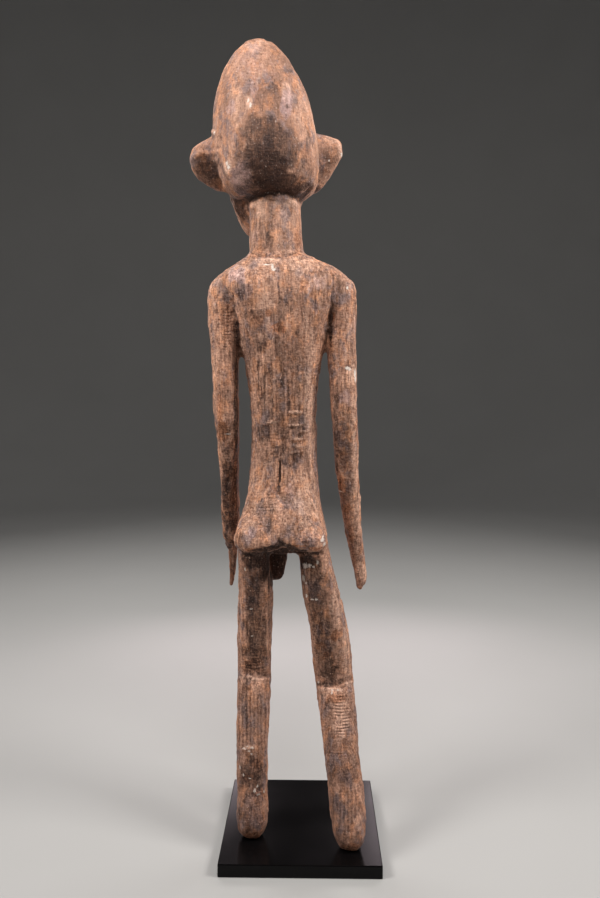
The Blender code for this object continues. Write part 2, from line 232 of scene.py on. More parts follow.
# Dark patina, and painted shade in creases, under the head and buttocks and on the arms' inner sides: centre,
# half width and half height in pixels, strength
DARK = (
    (254, 123, 9, 9, 0.64),
    (267, 123, 10, 9, 0.62),
    (245, 134, 5, 12, 0.45),
    (263, 137, 20, 13, 0.72),
    (277, 138, 10, 17, 0.66),
    (291, 142, 8, 13, 0.42),
    (300, 150, 3, 3, 0.5),
    (306, 161, 2, 6, 0.5),
    (297, 170, 3, 3, 0.5),
    (310, 172, 2, 6, 0.5),
    (303, 178, 5, 2, 0.55),
    (308, 151, 2, 4, 0.4),
    (246, 140, 8, 18, 0.40),
    (261, 158, 20, 22, 0.78),
    (243, 166, 11, 20, 0.5),
    (288, 158, 12, 14, 0.62),
    (300, 187, 13, 7, 0.66),
    (304, 170, 8, 14, 0.42),
    (269, 168, 20, 21, 1.1),
    (266, 152, 16, 14, 0.85),
    (244, 192, 17, 9, 0.6),
    (252, 184, 8, 9, 0.7),
    # painted shadow in the recess under the back of the head
    (288, 181, 11, 9, 0.8),
    (288, 188, 20, 5, 0.9),
    (251, 198, 6, 4, 1.3),
    (259, 193.5, 8, 3.5, 1.3),
    (271, 191, 9, 4, 1.3),
    (284, 191, 9, 4, 1.3),
    (295, 194, 6, 4, 1.2),
    (303, 200, 4, 7, 1.0),
    (311, 194, 10, 10, 0.75),
    (231, 186, 7, 12, 0.4),
    (205, 174, 17, 17, 0.66),
    (204, 150, 12, 7, 0.3),
    (233, 210, 14, 16, 0.85),
    (331, 158, 8, 11, 0.42),
    (324, 178, 8, 9, 0.38),
    (308, 141, 2.5, 12, 0.6),
    (272, 89, 7, 6, 0.50),
    (224, 272, 5, 6, 0.3),
    (343, 270, 4, 6, 0.4),
    (287, 71, 6, 2.5, 0.42),
    (262, 54, 10, 1.6, 0.36),
    (287, 106, 2.2, 2.2, 0.7),
    (270, 226, 4, 20, 0.42),
    (267, 239, 2.5, 6, 0.8),
    (286, 238, 3, 12, 0.3),
    (244, 292, 7, 8, 0.5),
    (284, 302, 7, 17, 0.40),
    (291, 302, 3, 18, 0.46),
    (315, 308, 2.5, 13, 0.4),
    (256, 320, 9, 11, 0.46),
    (262, 345, 5, 8, 0.6),
    (299, 333, 6, 8, 0.42),
    (285, 355, 14, 14, 0.34),
    (283, 384, 27, 34, 0.33),
    (258.5, 380, 1.2, 25, 0.65),
    (264.5, 392, 1.2, 22, 0.65),
    (262, 388, 5, 28, 0.46),
    (271, 368, 1.0, 18, 0.5),
    (272, 404, 2, 30, 0.5),
    (282, 376, 1.1, 14, 0.55),
    (288.5, 398, 1.1, 18, 0.55),
    (298, 386, 1.0, 17, 0.5),
    (304, 385, 4, 30, 0.38),
    (264, 433, 8, 9, 0.55),
    (298, 433, 8, 6, 0.5),
    (282, 440, 3, 24, 0.4),
    (284, 455, 20, 14, 0.5),
    (282, 425, 26, 26, 0.42),
    (280, 473, 1.4, 13, 1.6),
    (279, 487, 2.2, 2.2, 1.2),
    (279, 490, 4, 4, 0.5),
    (288, 499, 5, 5, 0.45),
    (268, 505, 9, 9, 0.36),
    (262, 527, 12, 14, 0.4),
    (249, 505, 5, 16, 0.34),
    (311, 508, 4, 4, 0.42),
    (300, 526, 12, 12, 0.34),
    # painted shade on the buttocks' lower roll, under their shelf and between the legs
    (310, 539, 15, 5, 0.42),
    (240, 543, 6, 7, 0.42),
    (252, 554.5, 9, 2.2, 1.2),
    (261, 551, 8, 2.8, 1.2),
    (270, 549.5, 8, 4, 1.3),
    (280, 547.5, 6, 5, 1.3),
    (290, 549.5, 8, 3.8, 1.3),
    (302, 552, 8, 2.8, 1.2),
    (314, 553.5, 8, 2.2, 1.0),
    (281, 554, 22, 5, 0.95),
    (279, 541, 1.6, 4, 0.8),
    (276, 566, 14, 18, 1.4),
    (285, 556, 10, 8, 1.4),
    (255, 560, 13, 9, 0.95),
    (308, 560, 13, 8, 0.85),
    (256, 585, 9, 26, 0.56),
    (256, 622, 10, 58, 0.62),
    (255, 654, 11, 16, 0.55),
    (256, 669, 10, 4, 0.55),
    (246, 685, 4, 6, 0.5),
    (270, 590, 4, 44, 0.45),
    (312, 580, 9, 16, 0.5),
    (315, 606, 10, 34, 0.5),
    (325, 648, 11, 40, 0.5),
    # painted shade along the right knee ledge
    (328, 672, 10, 12, 0.7),
    (325, 683, 9, 3.5, 0.7),
    (338, 681, 6, 3.5, 0.6),
    (254, 716, 17, 32, 0.2),
    (246, 712, 2.5, 30, 0.42),
    (257, 781, 8, 11, 0.62),
    (252, 812, 14, 26, 0.50),
    (252, 772, 14, 18, 0.64),
    (342, 776, 11, 10, 0.5),
    (344, 812, 15, 20, 0.36),
    (346, 838, 14, 10, 0.42),
    (331, 780, 5, 34, 0.38),
    (330, 730, 5, 34, 0.36),
    (223, 431, 6, 7, 0.46),
    (229, 452, 10, 28, 0.48),
    (230, 500, 10, 44, 0.75),
    (229, 560, 7, 26, 0.62),
    # painted shade on the arms' inner sides and in the armpits
    (237, 400, 4, 60, 0.75),
    (236, 345, 3, 26, 0.7),
    (238, 336, 2, 12, 1.1),
    (330.5, 325, 1.8, 22, 1.0),
    (336, 430, 3, 46, 0.6),
    (344, 520, 3, 46, 0.5),
    (344, 440, 11, 34, 0.42),
    (347, 505, 10, 30, 0.40),
    (354, 545, 7, 26, 0.38),
    (333, 354, 3, 26, 0.4),
    (249, 345, 8, 50, 0.38),
    (256, 395, 8, 44, 0.32),
    (237.5, 325, 2.5, 3.5, 0.9),
)

# Pale, worn wood, and painted highlights on ledges, raised ridges and the neck's top rim: the same
PALE = (
    (254, 46, 13, 6, 0.4),
    (252, 70, 18, 18, 0.3),
    (236, 104, 10, 24, 0.4),
    (249, 102, 3, 6, 0.9),
    (286, 93, 5, 12, 0.55),
    (300, 110, 8, 30, 0.3),
    (228, 166, 4, 7, 0.75),
    (240, 180, 5, 6, 0.8),
    (234, 186, 7, 8, 0.4),
    (303, 189, 5, 7, 0.55),
    (304, 168, 7, 20, 0.35),
    (226, 140, 8, 14, 0.2),
    (332, 139, 9, 4, 0.5),
    (341, 150, 3, 9, 0.6),
    (261, 212, 5, 10, 0.6),
    (283, 214, 7, 10, 0.4),
    (256, 238, 5, 12, 0.35),
    # painted highlight along the neck's top rim, under the recess
    (254, 205, 5, 3, 0.6),
    (263, 201, 8, 2.5, 0.5),
    (275, 203, 14, 5, 0.4),
    (290, 203, 8, 4, 0.6),
    (292, 226, 8, 18, 0.35),
    (268, 304, 6, 20, 0.45),
    (267, 264, 12, 6, 0.45),
    # painted highlight just below the shoulder ledge
    (262, 260, 12, 2, 0.6),
    (283, 260.5, 14, 2, 0.5),
    (288, 248, 10, 5, 0.35),
    (300, 264, 24, 8, 0.5),
    (238, 270, 14, 8, 0.45),
    (318, 283, 12, 11, 0.45),
    (346, 282, 8, 12, 0.35),
    (216, 282, 8, 12, 0.35),
    (272, 300, 6, 26, 0.3),
    (262, 337, 6, 5, 0.4),
    (352, 375, 5, 12, 0.6),
    (350, 330, 6, 40, 0.3),
    (354, 450, 4, 60, 0.5),
    (357, 520, 4, 40, 0.45),
    (360, 574, 6, 11, 0.8),
    (216, 370, 5, 50, 0.3),
    (310, 360, 8, 30, 0.3),
    # painted highlights on the raised cross ridges
    (296, 412, 7, 1.4, 0.8),
    (296, 425, 7, 1.4, 0.8),
    (303, 432, 6, 1.3, 0.7),
    (298, 439, 7, 1.4, 0.8),
    (300, 446.5, 5, 1.2, 0.6),
    (297, 452, 5, 1.2, 0.6),
    (271, 422, 8, 1.4, 0.8),
    (268, 464, 4, 1.2, 0.6),
    (274, 225, 24, 24, 0.32),
    (275, 268, 50, 13, 0.3),
    (253, 715, 16, 34, 0.3),
    (333, 158, 9, 16, 0.3),
    (326, 720, 8, 40, 0.25),
    (262, 510, 24, 14, 0.35),
    (305, 505, 12, 24, 0.5),
    (250, 528, 8, 12, 0.4),
    (318, 530, 7, 10, 0.3),
    (242, 604, 4, 60, 0.1),
    (268, 640, 4, 30, 0.25),
    (336, 610, 6, 34, 0.55),
    (346, 650, 5, 36, 0.5),
    (306, 640, 3, 40, 0.2),
    # painted highlights on the knee ledges
    (246, 677, 7, 1.6, 1.0),
    (257, 679, 9, 1.6, 0.7),
    (323, 689.5, 7, 1.6, 0.8),
    (335, 689.5, 8, 2.2, 1.0),
    (349, 683, 5, 2.5, 1.0),
    (333, 696, 9, 6, 0.6),
    (332, 703, 3, 6, 0.6),
    (310, 350, 6, 36, 0.42),
    (309, 395, 5, 32, 0.6),
    (304, 189, 2.5, 5, 0.8),
    (243, 343, 2.5, 9, 0.5),
    (311, 440, 5, 34, 0.45),
    (300, 372, 6, 30, 0.3),
    (252, 704, 16, 16, 0.25),
    (249, 747, 8, 3, 0.6),
    (254, 756, 3, 5, 0.55),
    (260, 779, 3, 7, 0.6),
    (246, 770, 3, 6, 0.5),
    (262, 792, 3, 3, 0.6),
    (243, 760, 3, 8, 0.45),
    (340, 720, 8, 22, 0.6),
    (330, 748, 12, 12, 0.2),
    (352, 740, 5, 30, 0.35),
    (358, 822, 5, 8, 0.55),
)

# Grey and mauve bloom: the same
BLOOM = (
    (286, 104, 6, 16, 0.9),
    (254, 86, 5, 12, 0.6),
    (231, 108, 5, 10, 0.7),
    (226, 84, 4, 8, 0.4),
    (255, 48, 12, 6, 0.5),
    (242, 178, 11, 18, 1.0),
    (252, 168, 8, 20, 0.3),
    (248, 64, 15, 16, 0.5),
    (268, 72, 12, 14, 0.4),
    (290, 80, 8, 14, 0.4),
    (256, 238, 4, 10, 0.5),
    (284, 215, 6, 6, 0.5),
    (238, 275, 8, 8, 1.2),
    (245, 292, 8, 8, 0.7),
    (318, 284, 12, 10, 0.6),
    (316, 306, 3, 10, 0.7),
    (290, 300, 4, 16, 0.4),
    (250, 350, 5, 24, 0.4),
    (346, 398, 6, 8, 0.6),
    (290, 492, 6, 8, 0.6),
    (262, 522, 7, 14, 0.5),
    (252, 533, 5, 5, 0.9),
    (304, 520, 10, 12, 0.25),
    (312, 538, 14, 8, 0.55),
    (306, 582, 6, 14, 0.5),
    (254, 812, 12, 24, 0.6),
    (246, 720, 3, 24, 0.4),
    (264, 720, 3, 24, 0.3),
    (344, 776, 10, 8, 0.5),
    (356, 828, 5, 5, 0.5),
)

# Red and orange wood laid bare: the same
REDDISH = (
    (269, 313, 3, 4, 1.0),
    (279, 328, 6, 4, 1.2),
    (256, 320, 8, 8, 0.5),
    (331, 317, 3, 5, 1.1),
    (292, 374, 4, 3, 0.6),
    (222, 430, 6, 8, 0.9),
    (219, 410, 3, 16, 0.6),
    (278, 489, 5, 5, 0.5),
    (268, 498, 8, 8, 0.35),
    (335, 636, 4, 5, 1.2),
    (322, 645, 3, 3, 0.9),
    (326, 655, 2.5, 2.5, 1.0),
    (255, 662, 9, 5, 0.6),
    (254, 670, 9, 3, 0.5),
    (335, 698, 9, 6, 0.7),
    (259, 792, 7, 4, 0.8),
    (248, 777, 5, 4, 0.6),
    (256, 764, 4, 5, 0.6),
    (250, 752, 6, 5, 0.4),
    (253, 836, 12, 4, 0.9),
    (350, 847, 10, 4, 0.6),
    (308, 160, 6, 20, 0.4),
    (228, 132, 8, 16, 0.3),
    (314, 549, 8, 2, 0.9),
    (298, 546, 8, 1.6, 0.7),
    (250, 550, 8, 2, 0.8),
    (229, 566, 4, 22, 0.7),
    (224, 520, 4, 24, 0.4),
    (358, 430, 3, 20, 0.5),
    (298, 240, 4, 12, 0.5),
    (268, 256, 18, 1.6, 0.5),
    (303, 433, 6, 1.4, 0.5),
    (298, 441, 7, 1.4, 0.6),
    (270, 425, 8, 1.4, 0.5),
    (226, 320, 7, 24, 0.4),
    (300, 345, 14, 16, 0.3),
)

# Specks of white paint: place, half width and half height in pixels
SPECKS = (
    (272.5, 267, 1.46, 3.74),
    (273.5, 269.5, 2.11, 1.46),
    (266, 264.5, 3.58, 0.81),
    (347.5, 288, 1.3, 1.62),
    (347.5, 368, 2.93, 1.46),
    (349.5, 369.5, 1.62, 1.3),
    (355, 373, 1.14, 4.23),
    (355.5, 379, 0.98, 3.25),
    (322.5, 540, 1.7, 2.6),
    (324.5, 545, 1.7, 3.0),
    (323, 536.5, 1.0, 1.2),
    (305, 566, 3.0, 2.8),
    (309.8, 565.5, 1.8, 1.8),
    (313.5, 567, 1.4, 1.2),
    (317.5, 562.5, 1.2, 2.4),
    (303.5, 578, 2.0, 3.6),
    (316.5, 599.5, 1.6, 1.1),
    (306.5, 595.5, 1.0, 1.8),
    (306, 583, 0.98, 1.46),
    (312, 599.5, 1.62, 0.81),
    (251, 609, 1.46, 0.49),
    (252, 636, 1.62, 0.49),
    (245, 569, 0.65, 2.27),
    (318.5, 682, 0.81, 1.46),
    (332, 690, 0.81, 0.81),
    (338, 690, 0.81, 0.81),
    (332, 693, 0.81, 1.3),
    (248.3, 100.5, 0.98, 1.95),
    (250.4, 104.5, 1.14, 2.44),
    (227, 163, 1.3, 1.95),
    (228.6, 167, 1.46, 1.95),
    (214, 132.5, 1.79, 1.14),
    (341.5, 154.5, 0.81, 1.3),
    (329, 160.5, 0.81, 0.81),
    (244.5, 748.5, 2.11, 0.81),
    (252.5, 748, 1.79, 0.98),
    (249, 751, 1.46, 0.65),
    (247.5, 746.3, 1.2, 0.6),
    (251.5, 754, 1.0, 0.9),
    (254.5, 791, 1.2, 1.6),
    (258.5, 794.5, 1.7, 0.9),
    (264, 791.5, 0.9, 1.6),
    (257.5, 786, 0.8, 1.3),
    (250, 778.5, 1.5, 0.6),
    (243.5, 775, 0.7, 1.3),
    (240, 767, 0.81, 1.62),
    (341, 491.5, 2.6, 0.65),
    (228, 434, 2.93, 0.49),
)

# Half the depth of a speck in millimetres, and how far it reaches past its half sizes
SPECK_DEPTH = 4.0
SPECK_REACH = 1.5

# Colours of the wood
BROWN = (0.262, 0.142, 0.097)
TAN = (0.455, 0.254, 0.174)
PALE_WOOD = (0.66, 0.41, 0.30)
# the dark field's two colours, for the dark patina and the painted shade alike
DARK_PATINA_AND_SHADE = (0.021, 0.0078, 0.0043)
SOOT_AND_SHADE = (0.060, 0.0250, 0.0150)
MAUVE = (0.40, 0.275, 0.27)
GREY_WOOD = (0.220, 0.156, 0.148)
RED_WOOD = (0.20, 0.062, 0.028)
ORANGE_WOOD = (0.52, 0.238, 0.124)
WHITE_PAINT = (0.86, 0.76, 0.68)
NICK_RED = (0.12, 0.048, 0.028)
CRACK_AND_HOLLOW_DARK = (0.045, 0.019, 0.011)

# What the colour is multiplied by in the dark and light grain and the cuts' painted light and shade, near the
# feet and on raised edges
DARK_GRAIN = (0.39, 0.325, 0.315)
LIGHT_GRAIN = (1.66, 1.70, 1.72)
FEET_TINT = (0.74, 0.73, 0.74)
EDGE_TINT = (1.28, 1.26, 1.24)

# Noises of the wood: feature sizes in millimetres, detail, roughness, distortion
WOOD_NOISES = {
    "clouds": ((30, 30, 45), 3.0, 0.55),
    "patches": ((10, 10, 17), 4.0, 0.6),
    "warmth": ((7, 7, 11), 4.0, 0.65),
    "mottle": ((3.2, 3.2, 4.0), 4.0, 0.65),
    "grit": ((1.2, 1.2, 1.6), 3.0, 0.6),
    "weave": ((3.0, 3.0, 1.1), 2.0, 0.5),
    "streaks": ((1.7, 1.7, 24), 3.0, 0.6, 0.2),
    "fibres": ((0.7, 0.7, 7), 2.0, 0.6),
    "cracks": ((0.8, 0.8, 20), 2.0, 0.5, 0.1),
    "edges": ((2.4, 2.4, 4.2), 4.0, 0.7),
    "nicks": ((2.6, 2.6, 1.3), 1.0, 0.5),
    "flecks": ((2.2, 2.2, 3.0), 1.0, 0.5),
}

# Where each look begins and is full, in its noise or painted field, and its least and greatest share
SPANS = {
    "tan": (0.36, 0.64),
    "grey": (0.50, 0.64, 0.0, 0.8),
    "orange": (0.47, 0.65, 0.0, 0.68),
    "pale": (0.15, 0.85, 0.0, 0.85),
    "reddish": (0.2, 0.75, 0.0, 0.8),
    "bloom": (0.3, 0.9, 0.0, 0.6),
    "dark": (0.06, 0.92),
    "grain": (-1.35, 1.35),
    "grain on dark": (0.0, 1.0, 1.0, 2.0),
    "raised edge": (-0.08, -0.6),
    "darker hollow": (0.2, 1.0, 0.0, 0.6),
    "crack": (0.67, 0.72, 0.0, 0.6),
    "crack depth": (0.66, 0.72, 0.0, 0.9),
    "nicks": (0.66, 0.78, 0.0, 0.45),
    "flecks": (0.69, 0.79, 0.0, 0.6),
    "flecks on dark": (0.0, 0.8, 0.5, 1.25),
    "specks": (0.25, 0.95),
    "roughness": (0.0, 1.0, 0.84, 0.56),
}

# The same by height, in millimetres
RISES = {
    "streaks": (440.0, 515.0, 1.7, 0.7),
    "grain": (440.0, 515.0, 1.5, 0.87),
    "soles": (25.0, 75.0, 0.7, 1.0),
    "feet": (290.0, 40.0),
    "trunk": (500.0, 450.0),
    "paint": (40.0, 240.0, 0.5, 0.85),
}

# How much each noise breaks up the edges of the painted fields
PALE_EDGE = 0.7
REDDISH_EDGE = 1.0
BLOOM_EDGE = 0.9
DARK_EDGE = 0.45
DARK_PATCHES = 0.5
PAINT_EDGE = 2.4
DARK_COVER = 0.95

# How much each noise lightens and darkens the wood, and how strongly the cuts are painted lighter on their
# crests and darker in their grooves
GRAIN_SHARES = {"fibres": 1.25, "grit": 1.5, "mottle": 1.25, "weave": 1.35}
RUNG_SHARE = 0.75
CUT_PAINTED_LIGHT = 0.45

# How far each stands out in the bump, as a share of its depth
BUMP_SHARES = {"fibres": 0.45, "streaks": 0.6, "grit": 0.45, "weave": 0.35}
CUT_BUMP = 0.4
NICK_BUMP = -0.7
FLECK_BUMP = 0.5
WOOD_BUMP = (0.0008, 1.0)
WOOD_SPECULAR = 0.28

# Plate
PLATE_DARK = (0.0024, 0.0021, 0.0023)
PLATE_LIGHT = (0.0046, 0.0040, 0.0043)
DUST = (0.10, 0.095, 0.09)
PLATE_NOISES = {
    "haze": ((34, 34, 34), 3.0, 0.5),
    "scuffs": ((2.2, 2.2, 2.2), 3.0, 0.6),
    "dust": ((0.9, 0.9, 0.9), 2.0, 0.5),
}
DUST_SPAN = (0.70, 0.80, 0.0, 0.25)
HAZE_SPAN = (0.3, 0.7, 0.15, 0.20)
SCUFF_SHARE = 0.04
PLATE_BUMP = (0.00003, 0.10)
PLATE_SPECULAR = 0.12

# Room
ROOM_RADIUS = 3.0
ROOM_BEND = 1.2
ROOM_HEIGHT = 3.2
ROOM_FLAT = (0.0, 0.5, 1.0)
BEND_STEPS = 12
ROOM_SIDES = 72
PAPER_DARK = (0.42, 0.415, 0.405)
PAPER_LIGHT = (0.46, 0.455, 0.445)
PAPER_NOISE = ((220, 220, 220), 2.0, 0.5)
PAPER_ROUGHNESS = 0.9

# Lights: name, place, where it points, width and height, power, colour
LIGHTS = (
    ("key_left", (-0.66, -0.32, 0.84), (0.0, 0.0, 0.50), (0.30, 0.30), 6.0, (1.0, 0.97, 0.94)),
    ("key_right", (0.70, -0.22, 0.80), (0.0, 0.0, 0.50), (0.30, 0.30), 6.4, (1.0, 0.97, 0.94)),
    ("top", (0.0, -0.38, 1.10), (0.0, 0.0, 0.50), (0.35, 0.35), 3.8, (1.0, 0.98, 0.96)),
    ("front_left", (-0.60, 0.80, 0.95), (0.0, 0.0, 0.45), (0.50, 0.50), 4.2, (1.0, 0.98, 0.96)),
    ("front_right", (0.65, 0.70, 0.90), (0.0, 0.0, 0.45), (0.50, 0.50), 3.6, (1.0, 0.98, 0.96)),
    ("card_left", (-0.145, 0.52, 0.23), (-0.06, 0.06, 0.01), (0.11, 0.12), 0.27, (1.0, 0.84, 0.89)),
    ("card_right", (0.140, 0.52, 0.28), (0.06, 0.04, 0.01), (0.10, 0.20), 0.37, (1.0, 0.84, 0.89)),
)
AIR = (0.80, 0.82, 0.86)
AIR_STRENGTH = 0.07


def smooth_step(values, low=0.0, high=1.0):
    """Rises gently from 0 at the low value to 1 at the high one."""
    values = np.clip((values - low) / (high - low), 0, 1)
    return values * values * (3 - 2 * values)


def lattice(cells, seed):
    """A fixed number from 0 to 1 for each cell corner, from its place mixed with large primes."""
    mixed = cells[:, 0] * 73856093 ^ cells[:, 1] * 19349663 ^ cells[:, 2] * 83492791 ^ seed * 26544357
    mixed = (mixed ^ (mixed >> 13)) * 1274126177
    mixed = mixed ^ (mixed >> 16)
    return (mixed & 0xFFFF) / 0xFFFF


def noise(points, sizes, seed):
    """Smooth noise from 0 to 1 with features of the given sizes in millimetres."""
    scaled = points * MM / np.array(sizes, float)
    cells = np.floor(scaled).astype(np.int64)
    part = scaled - cells
    part = part * part * (3 - 2 * part)
    total = np.zeros(len(points))
    for corner in np.ndindex(2, 2, 2):
        step = np.array(corner)
        share = np.prod(np.where(step, part, 1 - part), axis=1)
        total += share * lattice(cells + step, seed)
    return total


def two_noises(points, wide, fine, seed):
    """Wide features with finer ones in them, from 0 to 1."""
    return noise(points, wide, seed) * 0.6 + noise(points, fine, seed + 1) * 0.4


def arrays_of(mesh):
    """A mesh's points and normals."""
    points = np.empty(len(mesh.vertices) * 3, np.float32)
    normals = np.empty(len(mesh.vertices) * 3, np.float32)
    mesh.vertices.foreach_get("co", points)
    mesh.vertices.foreach_get("normal", normals)
    return points.reshape(-1, 3).astype(float), normals.reshape(-1, 3).astype(float)


def evaluated(thing):
    """The thing's mesh with its modifiers applied."""
    graph = bpy.context.evaluated_depsgraph_get()
    mesh = bpy.data.meshes.new_from_object(thing.evaluated_get(graph))
    thing.modifiers.clear()
    old = thing.data
    thing.data = mesh
    bpy.data.meshes.remove(old)
    return mesh


def facing_share(points, normals):
    """1 where the surface faces the camera squarely, 0 at the rim of its outline, below 0 behind it."""
    away = points - np.array(CAMERA_PLACE)
    return -(away * normals).sum(axis=1) / np.linalg.norm(away, axis=1)


def seen_at(points, normals):
    """Where the camera sees each point, in pixels, and how much the surface there faces it."""
    turn = np.array(Euler(CAMERA_TURN).to_matrix())
    local = (points - np.array(CAMERA_PLACE)) @ turn
    across = FRAME_WIDTH / 2 - FOCAL * local[:, 0] / local[:, 2]
    down = FRAME_HEIGHT / 2 + FOCAL * local[:, 1] / local[:, 2]
    return across, down, smooth_step(facing_share(points, normals), 0.05, 0.4)


def spot_field(across, down, spots, ragged):
    """The strongest of several soft spots at each point."""
    field = np.zeros(len(across))
    for centre, middle, half_width, half_height, strength in spots:
        distance = np.hypot((across - centre) / half_width, (down - middle) / half_height)
        field = np.maximum(field, strength * smooth_step(SPOT_REACH - distance - ragged, 0.0, SPOT_FADE))
    return field


def line_distance(across, down, line):
    """Pixels from each point to a line of straight stretches."""
    nearest = np.full(len(across), np.inf)
    for (x0, y0), (x1, y1) in zip(line, line[1:]):
        length = (x1 - x0) ** 2 + (y1 - y0) ** 2
        share = np.clip(((across - x0) * (x1 - x0) + (down - y0) * (y1 - y0)) / length, 0, 1)
        distance = np.hypot(across - x0 - share * (x1 - x0), down - y0 - share * (y1 - y0))
        nearest = np.minimum(nearest, distance)
    return nearest


def evened(mesh, field, rounds):
    """Each point's values averaged with those of its neighbours, round by round."""
    edges = np.empty(len(mesh.edges) * 2, np.int32)
    mesh.edges.foreach_get("vertices", edges)
    first, second = edges.reshape(-1, 2).T
    count = np.bincount(first, minlength=len(field)) + np.bincount(second, minlength=len(field))
    for _ in range(rounds):
        total = np.empty_like(field)
        for axis in range(field.shape[1]):
            total[:, axis] = np.bincount(first, field[second, axis], len(field))
            total[:, axis] += np.bincount(second, field[first, axis], len(field))
        field = total / count[:, None]
    return field


def facet(points, normals, across, along, strength, seed):
    """How far to move each point towards small planes, as strokes of a blade leave them."""
    chooser = np.random.default_rng(seed)
    area = len(points) * (GRAIN * MM) ** 2
    count = int(area / (across * along))
    chosen = chooser.choice(len(points), count, replace=False)
    sizes = np.array((across, across, along))
    features = np.hstack((points * MM / sizes, normals * FACET_TURN)).astype(np.float32)
    seeds = features[chosen]
    seed_lengths = (seeds ** 2).sum(axis=1)
    nearest = np.empty(len(points), np.int64)
    for start in range(0, len(points), FACET_BLOCK):
        block = features[start:start + FACET_BLOCK]
        nearest[start:start + FACET_BLOCK] = (seed_lengths - 2 * block @ seeds.T).argmin(axis=1)
    plane_points = points[chosen][nearest]
    plane_normals = normals[chosen][nearest]
    lift = ((points - plane_points) * plane_normals).sum(axis=1)
    lift = np.clip(lift * strength, -FACET_LIMIT, FACET_LIMIT)
    return -lift[:, None] * plane_normals


def flute_phase(points, across):
    """Counts the flutes from left to right: each whole number is one flute."""
    return (across + 0.9 * (noise(points, (5, 5, 14), 31) - 0.5)) / FLUTE_WIDTH


def rung_phase(points, across, down):
    """Counts the small cross cuts from the top down: each whole number is one cut, sagging in its middle."""
    sag = np.zeros(len(across))
    for centre, middle, half_width, half_height, _ in LADDERS:
        beside = np.abs(across - centre) < SAG_REACH * half_width
        near = beside & (np.abs(down - middle) < SAG_REACH * half_height)
        sag[near] = -RUNG_SAG * np.cos((across[near] - centre) / half_width)
    return (down + sag + 1.0 * (noise(points, (6, 6, 5), 32) - 0.5)) / RUNG_HEIGHT


def add_grain(relief, points, rough):
    """Adds ridges, fibres and chips over the whole skin."""
    for depth, sizes, seed, steps, less_on_head in RELIEF:
        layer = noise(points, sizes, seed)
        if steps:
            layer = smooth_step(layer, *steps)
        relief += depth * (layer - 0.5) * (rough if less_on_head else 1)
    places = smooth_step(noise(points, (24, 24, 34), 18), 0.42, 0.6)
    relief -= CHIP_DEPTH * smooth_step(noise(points, (4.2, 4.2, 2.8), 17), 0.62, 0.78) * places * rough


def add_marks(relief, points, normals, rough):
    """Adds the cuts, flutes, cross cuts and nicks of the back, and the rough rim of the outline."""
    across, down, facing = seen_at(points, normals)
    wobble = WOBBLE * (noise(points, (4, 4, 4), 15) - 0.5)
    for line, half_width, depth in CUTS:
        distance = line_distance(across + wobble, down + 0.6 * wobble, line)
        relief -= depth * smooth_step(1 - distance / half_width / 1.4) * facing
    flutes = 0.5 + 0.5 * np.sin(2 * math.pi * flute_phase(points, across))
    relief -= FLUTE_DEPTH * flutes * spot_field(across, down, FLUTES, 0.2 * wobble) * facing
    rungs = np.sin(2 * math.pi * rung_phase(points, across, down))
    relief += RUNG_DEPTH * rungs * spot_field(across, down, LADDERS, 0.2 * wobble) * facing
    rim = 1 - smooth_step(np.abs(facing_share(points, normals)), 0.08, 0.4)
    relief += RIM_DEPTH * (noise(points, (2.8, 2.8, 4.2), 19) - 0.5) * rim * rough
    back = smooth_step(-normals[:, 1], -0.5, -0.2)
    for centre, middle, radius, depth in NICKS:
        distance = np.hypot(across - centre, down - middle) + 0.5 * wobble
        relief -= depth * smooth_step(1.3 - distance / radius) * back


def carve(mesh):
    """Gives the fine mesh the blade's facets and all the relief, without sinking its feet into the plate."""
    points, normals = arrays_of(mesh)
    head = smooth_step(points[:, 2], HEAD_FROM, HEAD_FROM + BLEND)
    planes = facet(points, normals, *HEAD_FACETS) * head[:, None]
    planes += facet(points, normals, *BODY_FACETS) * (1 - head)[:, None]
    moved = points + evened(mesh, planes, FACET_ROUNDS)
    rough = 1 - HEAD_EASE * smooth_step(points[:, 2], NECK_FROM, NECK_FROM + BLEND)
    relief = np.zeros(len(points))
    add_grain(relief, points, rough)
    add_marks(relief, points, normals, rough)
    moved += normals * (relief / MM)[:, None]
    moved[:, 2] = np.maximum(moved[:, 2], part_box("figure")[0].z)
    mesh.vertices.foreach_set("co", moved.astype(np.float32).ravel())
    mesh.update()


def hollows(mesh, points, normals):
    """How deep each point lies among its neighbours: above 0 in a hollow, below 0 on an edge."""
    return ((evened(mesh, points, HOLLOW_ROUNDS) - points) * normals).sum(axis=1) * MM


def write_field(mesh, name, values):
    """Keeps one number for each point, for the material to read."""
    field = mesh.attributes.new(name, "FLOAT", "POINT")
    field.data.foreach_set("value", np.asarray(values, np.float32))


